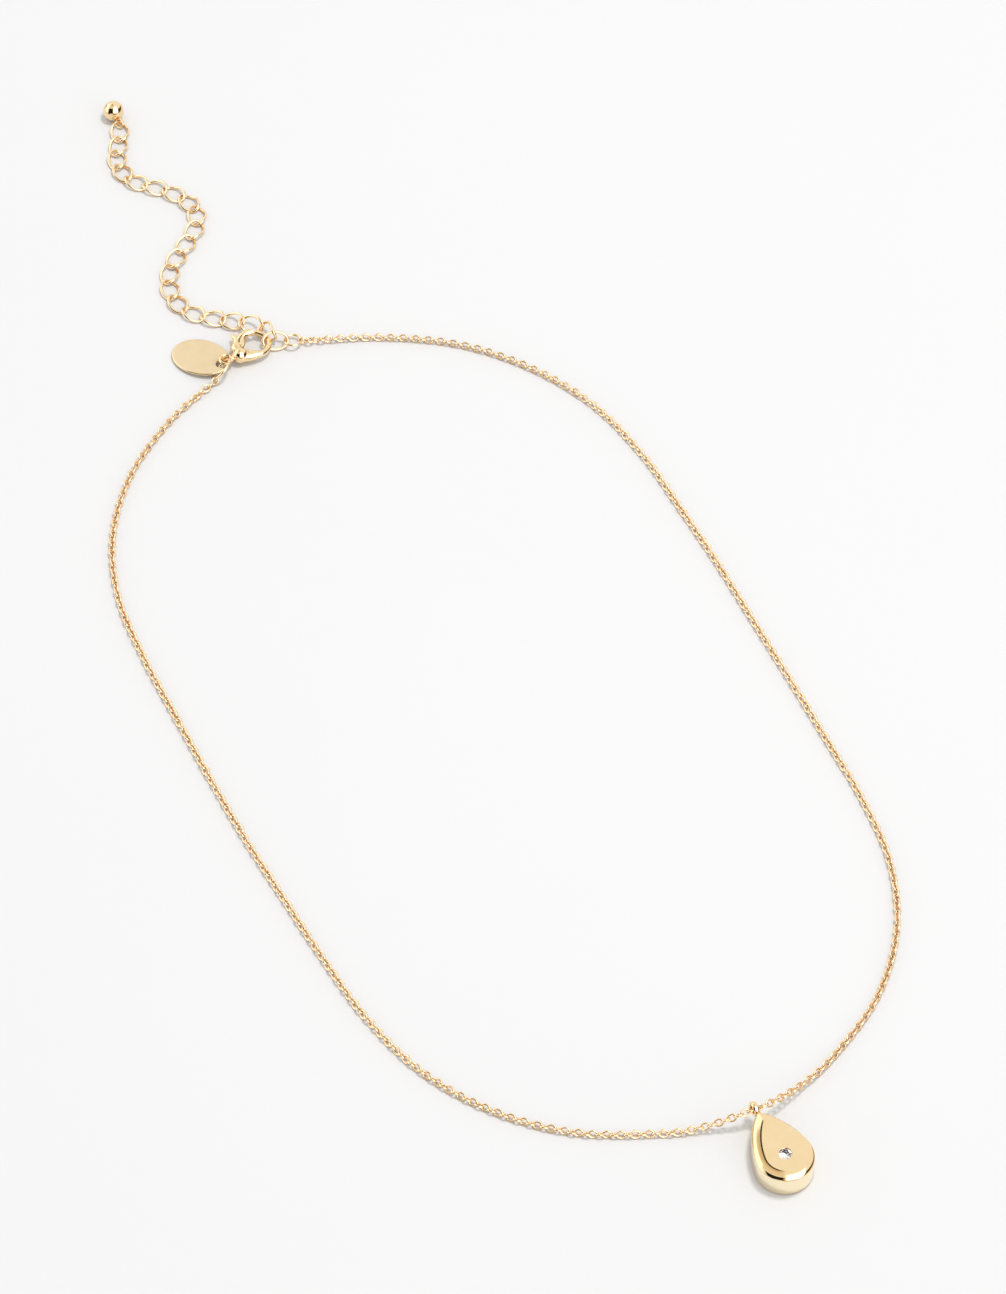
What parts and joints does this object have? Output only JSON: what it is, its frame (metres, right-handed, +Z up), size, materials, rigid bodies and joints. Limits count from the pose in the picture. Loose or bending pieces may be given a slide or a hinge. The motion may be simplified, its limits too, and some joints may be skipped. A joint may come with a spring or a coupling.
{
  "type": "pendant necklace",
  "caption": "Teardrop pendant with a small round stone on a fine cable chain, with a lobster clasp, an oval tag and an extender chain that ends in a ball, lying fastened in a long loop.",
  "frame": {"origin": "centre of the bounding box's underside, on the surface that the necklace lies on", "axes": "+Z up from the surface, +Y along the loop from the pendant to the extender's ball, +X to the right"},
  "size_m": [0.0882, 0.2346, 0.0044],
  "materials": {
    "gold": "polished gold plating",
    "crystal": "clear cut stone"
  },
  "bodies": {
    "necklace": {"chain": "gold", "pendant": "gold", "stone": "crystal", "end_ball": "gold", "end_ring": "gold", "clasp_body": "gold", "jump_ring": "gold", "tag": "gold", "extender_link_01": "gold", "extender_link_02": "gold", "extender_link_03": "gold", "extender_link_04": "gold", "extender_link_05": "gold", "extender_link_06": "gold", "extender_link_07": "gold", "extender_link_08": "gold", "extender_link_09": "gold", "extender_link_10": "gold", "extender_link_11": "gold", "extender_link_12": "gold", "extender_link_13": "gold", "extender_link_14": "gold", "extender_link_15": "gold", "extender_link_16": "gold", "extender_link_17": "gold", "extender_link_18": "gold", "extender_link_19": "gold", "extender_link_20": "gold", "extender_link_21": "gold"},
    "lever": {"clasp_lever": "gold"}
  },
  "joints": [
    {"name": "clasp_lever_hinge", "type": "hinge", "parent": "necklace", "child": "lever", "pos_m": [-0.00352, 0.05974, 0.00148], "axis": [0.0444, 0.0094, 0.999], "range_deg": [-22, 0], "stiffness_Nm_per_rad": 0.005}
  ]
}
